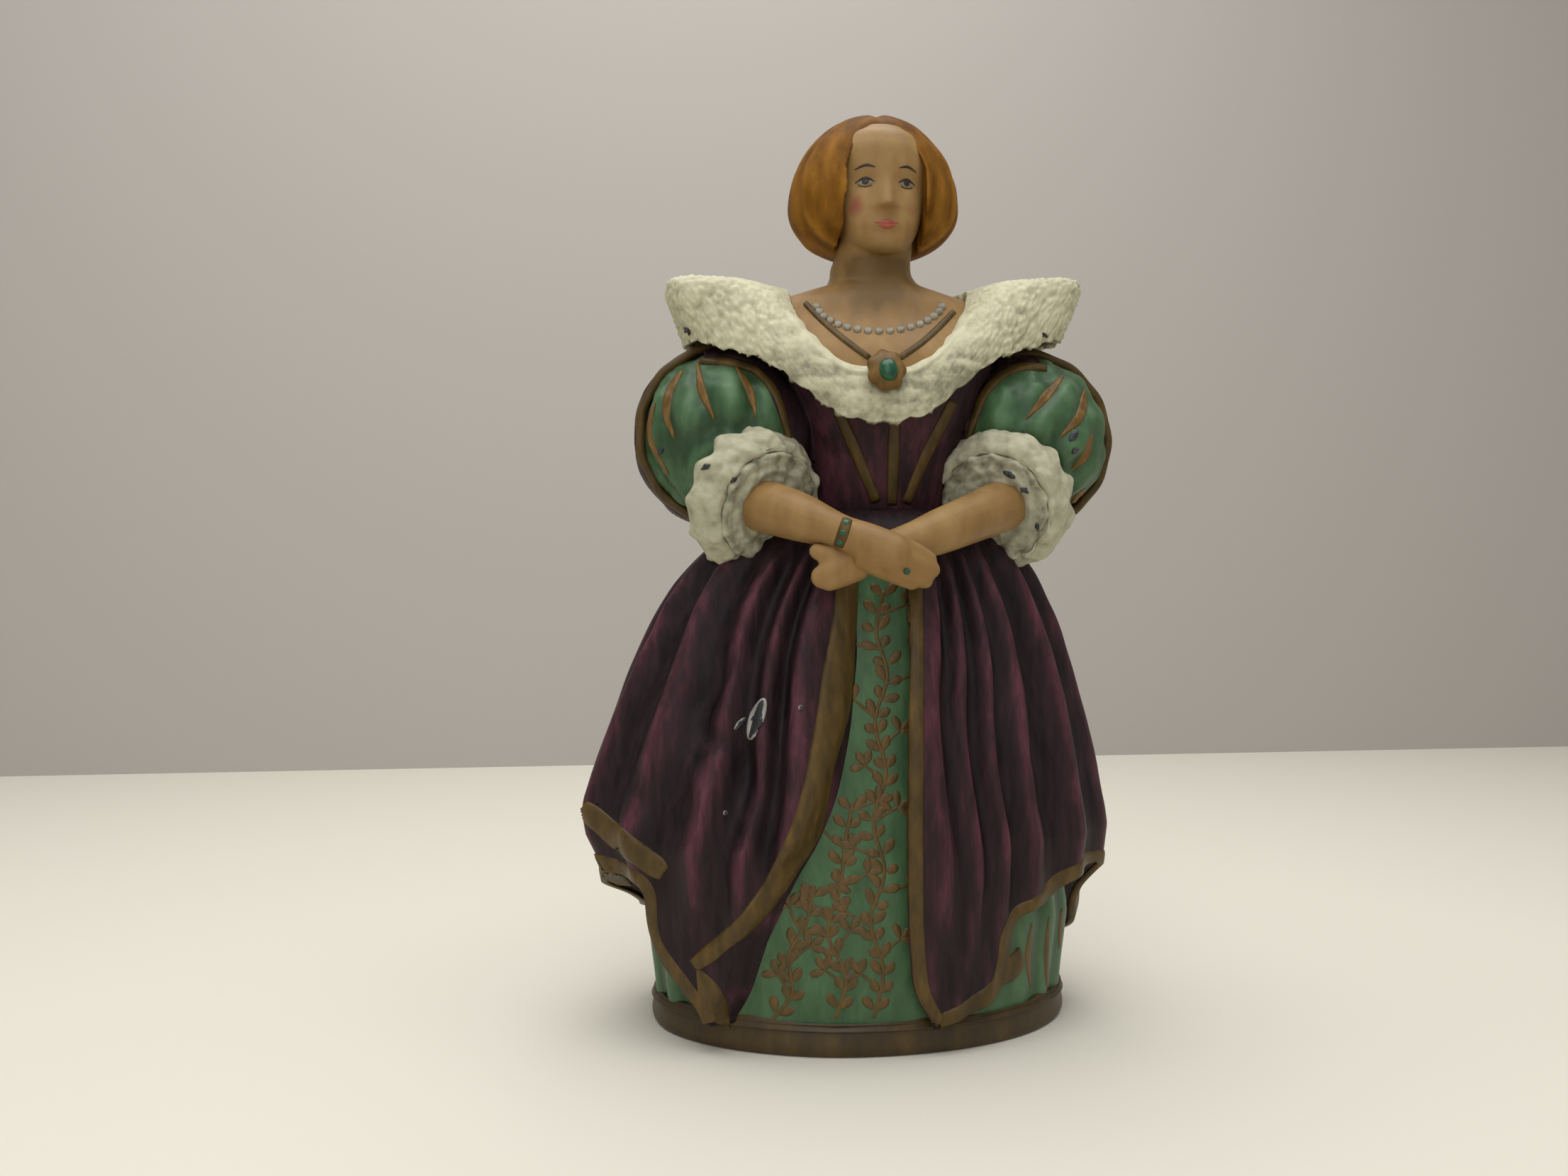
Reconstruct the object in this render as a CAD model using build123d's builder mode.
# Painted cast-metal figure of a standing lady in a court gown, made as separate castings that are
# pegged and soldered together. Millimetres, +Z up, the lady faces -Y, her right hand side is -X.
# The origin is the middle of the flat underside of the base.
import os
from math import atan2, cos, pi, radians, sin, sqrt

from build123d import *

os.makedirs("parts", exist_ok=True)

# Facets round every smooth section, which keep the castings light
oval_facets = 32
flat_tolerance = 1e-6

# Base plate
base_width = 27.5
base_depth = 18.4
base_height = 1.9
base_edge = 0.4

# Pegs and their sockets
peg_clearance = 0.05
skirt_peg_radius = 3.0
skirt_peg_length = 1.2
waist_peg_radius = 1.6
waist_peg_length = 3.0
neck_peg_radius = 1.5
neck_peg_length = 3.0
sleeve_peg_radius = 0.9
sleeve_peg_length = 1.6
arm_peg_radius = 1.2
arm_peg_length = 1.2

# Waist, where the skirts end and the bodice begins
torso_x = 1.25
waist_z = 33.2
waist_width = 9.8
waist_depth = 7.8

# Overskirt: a bell that springs out of the waist and turns in a little below its fullest level
skirt_full_z = 12.4
skirt_full_width = 35.2
skirt_full_depth = 21.0
skirt_full_x = -1.0
skirt_full_y = 0.2
skirt_turn_in = 2.4
skirt_turn_in_depth = 0.3
skirt_spring = 0.4
fold_depth = 0.5
# Fold crests, as degrees round the skirt from the front towards her left: close in front, wider behind
fold_turns = (14, 20.5, 27.5, 36, 54, 76, 98, 120, 143, 166, 189, 212, 235, 258, 282, 305, 324, 334, 341)
hem_left_x = -18.3
hem_left_z = 9.0
hem_right_x = 16.2
hem_right_z = 9.6
hem_back_z = 3.2

# Petticoat under it
petticoat_full_z = 7.0
petticoat_full_width = 28.2
petticoat_full_depth = 18.6
petticoat_foot_inset = 0.25
petticoat_waist_inset = 0.5

# Torso, cut by the sloping neckline into the bodice below and the bust above
rib_z = 36.6
rib_width = 10.6
rib_depth = 8.8
bust_z = 40.6
bust_width = 13.4
bust_depth = 10.6
bust_y = -0.7
chest_z = 42.8
chest_width = 15.4
chest_depth = 10.2
chest_y = -0.5
shoulder_z = 45.6
shoulder_width = 16.4
shoulder_depth = 7.8
shoulder_y = 0.3
neck_root_z = 48.2
neck_root_width = 8.0
neck_root_depth = 5.6
neckline_front_z = 41.0
neckline_back_z = 46.8

# Neck and head
neck_radius = 2.45
neck_y = 0.6
chin_z = 49.9
skull_height = 9.1
skull_width = 6.8
skull_depth = 7.4
skull_y = 0.4
nose_root = 0.62
nose_tip = 0.36
nose_base = 0.31
nose_width = 1.1
nose_reach = 0.75

# Hair
hair_top_z = 60.1
hair_full_z = 53.8
hair_low_z = 50.5
hair_width = 11.5
hair_depth = 10.0
hair_y = 1.4
hair_locks = 12
lock_depth = 0.12
face_window_width = 5.7
face_window_spring_z = 55.6
face_window_top_z = 58.3
face_window_back_y = 0.4

# Lace collar
collar_top_z = 48.7
collar_low_z = 38.0
collar_width = 29.2
collar_depth = 15.4
collar_y = 0.5
# Its rounding over the shoulders: shares of the height, of the width and of the depth
collar_rounding = (
    (0, 1, 1),
    (0.28, 1, 0.93),
    (0.5, 1, 0.85),
    (0.71, 0.99, 0.74),
    (0.87, 0.97, 0.63),
    (0.95, 0.925, 0.54),
    (1, 0.855, 0.42),
)
collar_wing_z = 44.0
collar_wing_inner = 9.0
collar_dip_z = 38.5
collar_back_z = 42.6
neck_window_width = 11.8
neck_window_z = 41.7
# Dip, window, pendant and hands lie a little to her right, as her chest is turned that way
chest_turn_x = -0.9
neck_window_back_y = 1.5

# Puffed sleeves and the open oversleeves behind them
sleeve_x = 10.0
sleeve_y = 0.2
sleeve_z = 38.1
sleeve_radius = 5.7
puff_gores = 18
puff_levels = 9
puff_end_angle = 80
sleeve_peg_z = 41.5
oversleeve_wall = 0.5
oversleeve_front_y = -0.6

# Cuffs and frills, threaded on the line from the elbow towards the hands
elbow_x = 10.9
elbow_y = 0.6
elbow_z = 35.6
aim_x = 4.8
aim_y = -8.2
aim_z = 31.6
cuff_start = 3.6
cuff_length = 3.2
# Its bulge, as shares of the length and radii
cuff_bulge = ((0, 3.2), (0.38, 4.45), (0.78, 4.3), (1, 3.7))
cuff_lobes = 9
cuff_lobe_depth = 0.25
frill_length = 1.0
frill_radius = 3.4
frill_lobe_depth = 0.2

# Forearms: the lady's right hand lies over her left wrist
arm_radius = 1.85
arm_facets = 12
wrist_half_height = 1.4
wrist_half_depth = 1.15
palm_half_height = 1.7
palm_half_depth = 0.85
tip_half_height = 0.9
tip_half_depth = 0.6
right_arm_line = ((-6.0, -8.4, 32.0), (-4.2, -9.9, 31.3), (-1.5, -10.9, 30.0), (0.8, -11.0, 29.5))
left_arm_line = ((3.5, -8.0, 32.4), (1.2, -9.2, 31.2), (-2.4, -9.6, 30.1), (-5.4, -9.9, 28.7))

# Pendant on the collar
pendant_z = 40.9
pendant_width = 2.4
pendant_height = 2.6
pendant_lobes = 7
pendant_lobe_depth = 0.1
pendant_back_y = -5.9
pendant_reach = 1.7
pendant_tilt = 20
stone_width = 1.3
stone_height = 1.6
stone_rise = 0.4
stone_facets = 10
stone_table_share = 0.55


def mix(low, high, share):
    return low + (high - low) * share


# Corners of a section: an oval whose rim swells into lobes
def lobed_oval(plane, width, depth, lobes, lobe_depth, points_per_lobe=4):
    count = lobes * points_per_lobe
    corners = []
    for i in range(count):
        angle = pi / 2 + 2 * pi * i / count
        swell = lobe_depth * cos(lobes * angle)
        corner = Vector((width / 2 + swell) * cos(angle), (depth / 2 + swell) * sin(angle), 0)
        corners.append(plane.from_local_coords(corner))
    return corners


def oval(x, y, z, width, depth):
    return lobed_oval(Plane((x, y, z)), width, depth, oval_facets, 0, 1)


# Corners of a section of the skirt: an oval with a crest at each fold and a valley between two
def folded_oval(plane, width, depth, fold):
    corners = []
    for turn, next_turn in zip(fold_turns, fold_turns[1:] + (fold_turns[0] + 360,)):
        for share, side in ((0, 1), (0.25, 0), (0.5, -1), (0.75, 0)):
            angle = radians(mix(turn, next_turn, share))
            corner = Vector((width / 2 + side * fold) * sin(angle), -(depth / 2 + side * fold) * cos(angle), 0)
            corners.append(plane.from_local_coords(corner))
    return corners


# Solid through a row of sections, with flat facets from corner to corner
def facet_loft(sections):
    facets = [Face(Wire.make_polygon(sections[0])), Face(Wire.make_polygon(sections[-1]))]
    for low, high in zip(sections, sections[1:]):
        for i in range(len(low)):
            a, b, c, d = low[i - 1], low[i], high[i], high[i - 1]
            warp = (b - a).cross(d - a).dot(c - a)
            outlines = [(a, b, c, d)] if abs(warp) < flat_tolerance else [(a, b, c), (a, c, d)]
            for outline in outlines:
                facets.append(Face(Wire.make_polygon(outline)))
    return Solid(Shell(facets))


# Base plate, on whose flat underside the figure stands
with BuildPart() as base:
    with BuildSketch():
        Ellipse(base_width / 2, base_depth / 2)
    extrude(amount=base_height)
    chamfer(base.edges().group_by(Axis.Z)[-1], base_edge)
    with Locations((0, 0, base_height)):
        Hole(skirt_peg_radius + peg_clearance, skirt_peg_length + peg_clearance)
base.part.label = "base"


def petticoat_section(share):
    spring = share**skirt_spring
    return oval(
        mix(torso_x, 0, spring),
        0,
        mix(waist_z, petticoat_full_z, share),
        mix(waist_width - 2 * petticoat_waist_inset, petticoat_full_width, spring),
        mix(waist_depth - 2 * petticoat_waist_inset, petticoat_full_depth, spring),
    )


# Petticoat, the core of the figure, pegged into the base and into the bodice
with BuildPart() as petticoat:
    foot = oval(
        0,
        0,
        base_height,
        base_width - 2 * petticoat_foot_inset,
        base_depth - 2 * petticoat_foot_inset,
    )
    add(facet_loft([foot] + [petticoat_section(share) for share in (1, 0.75, 0.5, 0.3, 0.1, 0)]))
    with Locations((0, 0, base_height)):
        Cylinder(skirt_peg_radius, skirt_peg_length, align=(Align.CENTER, Align.CENTER, Align.MAX))
    with Locations((torso_x, 0, waist_z)):
        Cylinder(waist_peg_radius, waist_peg_length, align=(Align.CENTER, Align.CENTER, Align.MIN))
petticoat.part.label = "petticoat"


def overskirt_section(share, z=None, turn_in=0, turn_in_depth=0):
    spring = share**skirt_spring
    plane = Plane(
        (
            mix(torso_x, skirt_full_x, spring),
            mix(0, skirt_full_y, spring),
            mix(waist_z, skirt_full_z, share) if z is None else z,
        )
    )
    return folded_oval(
        plane,
        mix(waist_width, skirt_full_width, spring) - 2 * turn_in,
        mix(waist_depth, skirt_full_depth, spring) - 2 * turn_in_depth,
        fold_depth * spring * min(1, 4 * share),
    )


# The parts of the bell that the hem and the front opening leave, seen from the front and the back
bell_right = (hem_right_x, hem_right_z)
bell_left = (hem_left_x, hem_left_z)
with BuildPart() as front_drape:
    with BuildSketch(Plane.XZ):
        with BuildLine():
            Spline((-9.2, 2.0), (-6.4, 9.0), (-4.3, 17.0), (-3.0, 25.5), (-2.0, 31.2))
            Line((-2.0, 31.2), (1.2, 31.2))
            Line((1.2, 31.2), (1.4, 7.0))
            Spline((1.4, 7.0), (1.9, 3.9), (3.4, 2.1), tangents=((0, -1), (1, -0.5)))
            Polyline((3.4, 2.1), (8.4, 4.9), (8.0, 6.6), (12.3, 9.5), bell_right)
            Polyline(bell_right, (skirt_full_width, hem_right_z), (skirt_full_width, waist_z))
            Line((skirt_full_width, waist_z), (-skirt_full_width, waist_z))
            Polyline((-skirt_full_width, waist_z), (-skirt_full_width, hem_left_z), bell_left)
            Polyline(bell_left, (-14.7, 8.7), (-13.9, 5.2), (-9.2, 2.0))
        make_face()
    extrude(amount=skirt_full_depth)

with BuildPart() as back_drape:
    with BuildSketch(Plane.XZ):
        with BuildLine():
            Spline(bell_left, (-9.0, hem_back_z + 0.8), (0, hem_back_z), (9.0, hem_back_z + 1), bell_right)
            Polyline(bell_right, (skirt_full_width, hem_right_z), (skirt_full_width, waist_z))
            Line((skirt_full_width, waist_z), (-skirt_full_width, waist_z))
            Polyline((-skirt_full_width, waist_z), (-skirt_full_width, hem_left_z), bell_left)
        make_face()
    extrude(amount=-skirt_full_depth)

# Overskirt, open in front over the petticoat
with BuildPart() as overskirt:
    lowest = overskirt_section(1, base_height, skirt_turn_in, skirt_turn_in_depth)
    add(facet_loft([lowest] + [overskirt_section(share) for share in (1, 0.7, 0.4, 0.2, 0.08, 0)]))
    add(front_drape.part + back_drape.part, mode=Mode.INTERSECT)
    add(petticoat.part, mode=Mode.SUBTRACT)
overskirt.part.label = "overskirt"


neckline_span = (bust_depth + shoulder_depth) / 2
neckline_tilt = atan2(neckline_back_z - neckline_front_z, neckline_span)
neckline = Plane(
    (torso_x, bust_y - bust_depth / 2, neckline_front_z),
    x_dir=(1, 0, 0),
    z_dir=(0, -sin(neckline_tilt), cos(neckline_tilt)),
)
neck_peg_z = mix(neckline_front_z, neckline_back_z, 0.5)

# Torso from the waist to the neck, the common form of the bodice and the bust
torso = facet_loft(
    [
        oval(torso_x, 0, waist_z, waist_width, waist_depth),
        oval(torso_x, bust_y / 2, rib_z, rib_width, rib_depth),
        oval(torso_x, bust_y, bust_z, bust_width, bust_depth),
        oval(torso_x, chest_y, chest_z, chest_width, chest_depth),
        oval(torso_x, shoulder_y, shoulder_z, shoulder_width, shoulder_depth),
        oval(torso_x, neck_y, neck_root_z, neck_root_width, neck_root_depth),
    ]
)

# Bodice, with sockets for the petticoat, the head and both sleeves
with BuildPart() as bodice:
    add(torso)
    split(bisect_by=neckline, keep=Keep.BOTTOM)
    with Locations((torso_x, 0, waist_z)):
        Cylinder(
            waist_peg_radius + peg_clearance,
            waist_peg_length + peg_clearance,
            align=(Align.CENTER, Align.CENTER, Align.MIN),
            mode=Mode.SUBTRACT,
        )
    with Locations((torso_x, 0, neck_peg_z)):
        Cylinder(
            neck_peg_radius + peg_clearance,
            2 * (neck_peg_length + peg_clearance),
            mode=Mode.SUBTRACT,
        )
    with Locations((torso_x, 0, sleeve_peg_z)):
        Cylinder(
            sleeve_peg_radius + peg_clearance,
            shoulder_width,
            rotation=(0, 90, 0),
            mode=Mode.SUBTRACT,
        )
bodice.part.label = "bodice"

# Head, cast with the neck and the bust and pegged into the bodice
with BuildPart() as head:
    add(torso)
    split(bisect_by=neckline, keep=Keep.TOP)
    neck_low = oval(torso_x, neck_y, neck_root_z - 1, 2 * neck_radius, 2 * neck_radius)
    neck_high = oval(torso_x, neck_y, chin_z + 3, 2 * neck_radius, 2 * neck_radius)
    add(facet_loft([neck_low, neck_high]))
    skull_sections = []
    for height, width, depth, forward in (
        (0, 0.3, 0.26, 2.3),
        (0.07, 0.58, 0.5, 1.6),
        (0.22, 0.86, 0.8, 0.7),
        (0.45, 1, 1, 0),
        (0.7, 0.98, 1, 0),
        (0.86, 0.82, 0.84, 0),
        (0.96, 0.52, 0.54, 0),
        (1, 0.16, 0.16, 0),
    ):
        skull_sections.append(
            oval(
                torso_x,
                skull_y - forward,
                chin_z + height * skull_height,
                width * skull_width,
                depth * skull_depth,
            )
        )
    add(facet_loft(skull_sections))
    face_y = skull_y - skull_depth / 2
    with BuildSketch(Plane.YZ.offset(torso_x)):
        Polygon(
            (face_y + 1, chin_z + nose_root * skull_height),
            (face_y, chin_z + nose_root * skull_height),
            (face_y - nose_reach, chin_z + nose_tip * skull_height),
            (face_y + 1, chin_z + nose_base * skull_height),
            align=None,
        )
    extrude(amount=nose_width / 2, both=True)
    with Locations((torso_x, 0, neck_peg_z)):
        Cylinder(neck_peg_radius, 2 * neck_peg_length)
head.part.label = "head"


def puff(side, wall):
    radius = sleeve_radius + wall
    sections = []
    for step in range(puff_levels + 1):
        tilt = radians(mix(-puff_end_angle, puff_end_angle, step / puff_levels))
        plane = Plane((torso_x + side * sleeve_x, sleeve_y, sleeve_z + radius * sin(tilt)))
        width = 2 * radius * cos(tilt)
        sections.append(lobed_oval(plane, width, width, puff_gores, 0, 1))
    return facet_loft(sections)


def arm_plane(side, distance):
    elbow = Vector(torso_x + chest_turn_x / 2 + side * elbow_x, elbow_y, elbow_z)
    aim = Vector(torso_x + chest_turn_x + side * aim_x, aim_y, aim_z)
    along = (aim - elbow).normalized()
    return Plane(elbow + along * distance, x_dir=along.cross(Vector(0, 0, 1)), z_dir=along)


arm_start = cuff_start + cuff_length + frill_length
arm_peg_start = cuff_start - arm_peg_length


def arm_bore(side):
    with BuildPart() as bore:
        with BuildSketch(arm_plane(side, arm_peg_start - peg_clearance)):
            Circle(arm_peg_radius + peg_clearance)
        extrude(amount=arm_start - arm_peg_start + peg_clearance)
    return bore.part


# Puffed sleeves, one on each side, pegged into the bodice
def make_sleeve(side, label):
    with BuildPart() as sleeve:
        add(puff(side, 0))
        add(torso, mode=Mode.SUBTRACT)
        add(arm_bore(side), mode=Mode.SUBTRACT)
        with BuildSketch(Plane.YZ.offset(torso_x + side * sleeve_x)):
            with Locations((0, sleeve_peg_z)):
                Circle(sleeve_peg_radius)
        extrude(amount=-side * (sleeve_x - bust_width / 2 + sleeve_peg_length))
    sleeve.part.label = label
    return sleeve.part


sleeve_right = make_sleeve(-1, "sleeve_right")
sleeve_left = make_sleeve(1, "sleeve_left")


# Oversleeves, open shells behind the puffs
def make_oversleeve(side, label):
    with BuildPart() as oversleeve:
        add(puff(side, oversleeve_wall))
        split(bisect_by=Plane.XZ.offset(-oversleeve_front_y), keep=Keep.BOTTOM)
        add(puff(side, 0), mode=Mode.SUBTRACT)
        add(torso, mode=Mode.SUBTRACT)
        add(arm_bore(side), mode=Mode.SUBTRACT)
    oversleeve.part.label = label
    return oversleeve.part


oversleeve_right = make_oversleeve(-1, "oversleeve_right")
oversleeve_left = make_oversleeve(1, "oversleeve_left")

# What the collar's lower edge leaves in front and behind, and the window at the neck
torso_front = Plane((torso_x, 0, 0), x_dir=(1, 0, 0), z_dir=(0, -1, 0))
wing = (collar_wing_inner, collar_wing_z)
wing_mirrored = (-collar_wing_inner, collar_wing_z)
wing_end = (collar_width, collar_wing_z)
wing_end_mirrored = (-collar_width, collar_wing_z)
wing_top = (collar_width, collar_top_z)
wing_top_mirrored = (-collar_width, collar_top_z)
with BuildPart() as collar_front:
    with BuildSketch(torso_front):
        with BuildLine():
            Spline(wing_mirrored, (chest_turn_x, collar_dip_z), wing, tangents=((1, -0.6), (1, 0.6)))
            Polyline(wing, wing_end, wing_top, wing_top_mirrored, wing_end_mirrored, wing_mirrored)
        make_face()
    extrude(amount=collar_depth)

with BuildPart() as collar_back:
    with BuildSketch(torso_front):
        with BuildLine():
            Spline(wing_mirrored, (0, collar_back_z), wing)
            Polyline(wing, wing_end, wing_top, wing_top_mirrored, wing_end_mirrored, wing_mirrored)
        make_face()
    extrude(amount=-collar_depth)

with BuildPart() as neck_window:
    with BuildSketch(torso_front.offset(-neck_window_back_y)):
        with BuildLine():
            window_top = (neck_window_width / 2, collar_top_z)
            window_top_mirrored = (-neck_window_width / 2, collar_top_z)
            window_low = (chest_turn_x, neck_window_z)
            Spline(window_top_mirrored, window_low, window_top, tangents=((0.3, -1), (0.3, 1)))
            Line(window_top, window_top_mirrored)
        make_face()
    extrude(amount=collar_depth)

# Lace collar, spread over the shoulders and the tops of the sleeves
with BuildPart() as collar:
    collar_sections = []
    for height, width, depth in collar_rounding:
        z = mix(collar_low_z, collar_top_z, height)
        collar_sections.append(oval(torso_x, collar_y, z, width * collar_width, depth * collar_depth))
    add(facet_loft(collar_sections))
    add(collar_front.part + collar_back.part, mode=Mode.INTERSECT)
    add(neck_window.part, mode=Mode.SUBTRACT)
    add(torso, mode=Mode.SUBTRACT)
    add(head.part, mode=Mode.SUBTRACT)
    for other in (sleeve_right, sleeve_left, oversleeve_right, oversleeve_left):
        add(other, mode=Mode.SUBTRACT)
collar.part.label = "collar"


def main_solid(part, label):
    solid = part.solids().sort_by(SortBy.VOLUME)[-1]
    solid.label = label
    return solid


# Cuffs with a scalloped rim, threaded on the forearms against the sleeves
def make_cuff(side, sleeve, oversleeve, label):
    with BuildPart() as cuff:
        rims = []
        for share, radius in cuff_bulge:
            plane = arm_plane(side, cuff_start + share * cuff_length)
            lobe = 0 if share in (0, 1) else cuff_lobe_depth
            rims.append(lobed_oval(plane, 2 * radius, 2 * radius, cuff_lobes, lobe, 3))
        add(facet_loft(rims))
        for other in (sleeve, oversleeve, torso, overskirt.part, arm_bore(side)):
            add(other, mode=Mode.SUBTRACT)
    return main_solid(cuff.part, label)


cuff_right = make_cuff(-1, sleeve_right, oversleeve_right, "cuff_right")
cuff_left = make_cuff(1, sleeve_left, oversleeve_left, "cuff_left")


# Smaller inner frills in front of the cuffs
def make_frill(side, label):
    with BuildPart() as frill:
        rims = []
        for distance in (cuff_start + cuff_length, arm_start):
            plane = arm_plane(side, distance)
            rims.append(lobed_oval(plane, 2 * frill_radius, 2 * frill_radius, cuff_lobes, frill_lobe_depth, 3))
        add(facet_loft(rims))
        for other in (torso, overskirt.part, arm_bore(side)):
            add(other, mode=Mode.SUBTRACT)
    return main_solid(frill.part, label)


frill_right = make_frill(-1, "frill_right")
frill_left = make_frill(1, "frill_left")


def arm_section(plane, half_height, half_depth):
    return lobed_oval(plane, 2 * half_depth, 2 * half_height, arm_facets, 0, 1)


# Forearms with their hands, pegged through the frill and the cuff into the sleeve
def make_forearm(side, line, label):
    points = [Vector(torso_x + x, y, z) for x, y, z in line]
    starts = [arm_plane(side, arm_start).origin] + points[:-1]
    ends = points[1:] + points[-1:]
    planes = [arm_plane(side, arm_start)]
    for start, point, end in zip(starts, points, ends):
        along = (end - start).normalized()
        planes.append(Plane(point, x_dir=along.cross(Vector(0, 0, 1)), z_dir=along))
    half_heights = (
        arm_radius,
        mix(arm_radius, wrist_half_height, 0.4),
        wrist_half_height,
        palm_half_height,
        tip_half_height,
    )
    half_depths = (
        arm_radius,
        mix(arm_radius, wrist_half_depth, 0.4),
        wrist_half_depth,
        palm_half_depth,
        tip_half_depth,
    )
    with BuildPart() as forearm:
        add(facet_loft([arm_section(*station) for station in zip(planes, half_heights, half_depths)]))
        with BuildSketch(arm_plane(side, arm_peg_start)):
            Circle(arm_peg_radius)
        extrude(amount=arm_start - arm_peg_start)
        add(overskirt.part, mode=Mode.SUBTRACT)
    forearm.part.label = label
    return forearm.part


forearm_left = make_forearm(1, left_arm_line, "forearm_left")
forearm_right = make_forearm(-1, right_arm_line, "forearm_right") - forearm_left
forearm_right.label = "forearm_right"


def hair_section(share):
    if share > 0:
        swell = sqrt(1 - share**2)
        z = mix(hair_full_z, hair_top_z, share)
    else:
        swell = (1 - abs(share) ** 2.5) ** 0.4
        z = mix(hair_full_z, hair_low_z, -share)
    width = swell * hair_width - 2 * lock_depth
    depth = swell * hair_depth - 2 * lock_depth
    return lobed_oval(Plane((torso_x, hair_y, z)), width, depth, hair_locks, swell * lock_depth, 2)


# Hair, a cap over the skull with an arched window for the face
with BuildPart() as hair:
    add(facet_loft([hair_section(share) for share in (-0.97, -0.75, -0.4, 0, 0.45, 0.75, 0.92, 0.99)]))
    with BuildSketch(torso_front.offset(-face_window_back_y)):
        with BuildLine():
            low = hair_low_z - 1
            half = face_window_width / 2
            Polyline((-half, face_window_spring_z), (-half, low), (half, low), (half, face_window_spring_z))
            Spline(
                (half, face_window_spring_z),
                (0, face_window_top_z),
                (-half, face_window_spring_z),
                tangents=((0, 1), (0, -1)),
            )
        make_face()
    extrude(amount=hair_depth, mode=Mode.SUBTRACT)
    add(head.part, mode=Mode.SUBTRACT)
    add(collar.part, mode=Mode.SUBTRACT)
hair.part.label = "hair"

pendant_plane = Plane(
    (torso_x + chest_turn_x, pendant_back_y, pendant_z),
    x_dir=(1, 0, 0),
    z_dir=(0, -cos(radians(pendant_tilt)), sin(radians(pendant_tilt))),
)

# Pendant, a rosette that sits where the collar meets the bust
with BuildPart() as pendant:
    faces_of_rosette = []
    for plane in (pendant_plane, pendant_plane.offset(pendant_reach)):
        faces_of_rosette.append(
            lobed_oval(plane, pendant_width, pendant_height, pendant_lobes, pendant_lobe_depth)
        )
    add(facet_loft(faces_of_rosette))
    for other in (collar.part, head.part, bodice.part):
        add(other, mode=Mode.SUBTRACT)
pendant.part.label = "pendant"

# Stone set on the pendant, cut with facets up to a smaller table
with BuildPart() as pendant_stone:
    stone_sections = []
    for rise, share in ((0, 1), (stone_rise, stone_table_share)):
        plane = pendant_plane.offset(pendant_reach + rise)
        stone_sections.append(lobed_oval(plane, share * stone_width, share * stone_height, stone_facets, 0, 1))
    add(facet_loft(stone_sections))
pendant_stone.part.label = "pendant_stone"

for piece in (
    base.part,
    petticoat.part,
    overskirt.part,
    bodice.part,
    head.part,
    hair.part,
    collar.part,
    sleeve_right,
    sleeve_left,
    oversleeve_right,
    oversleeve_left,
    cuff_right,
    cuff_left,
    frill_right,
    frill_left,
    forearm_right,
    forearm_left,
    pendant.part,
    pendant_stone.part,
):
    export_step(piece, f"parts/{piece.label}.step")
    print(piece.label, piece.is_valid, round(piece.volume, 2), len(piece.solids()))
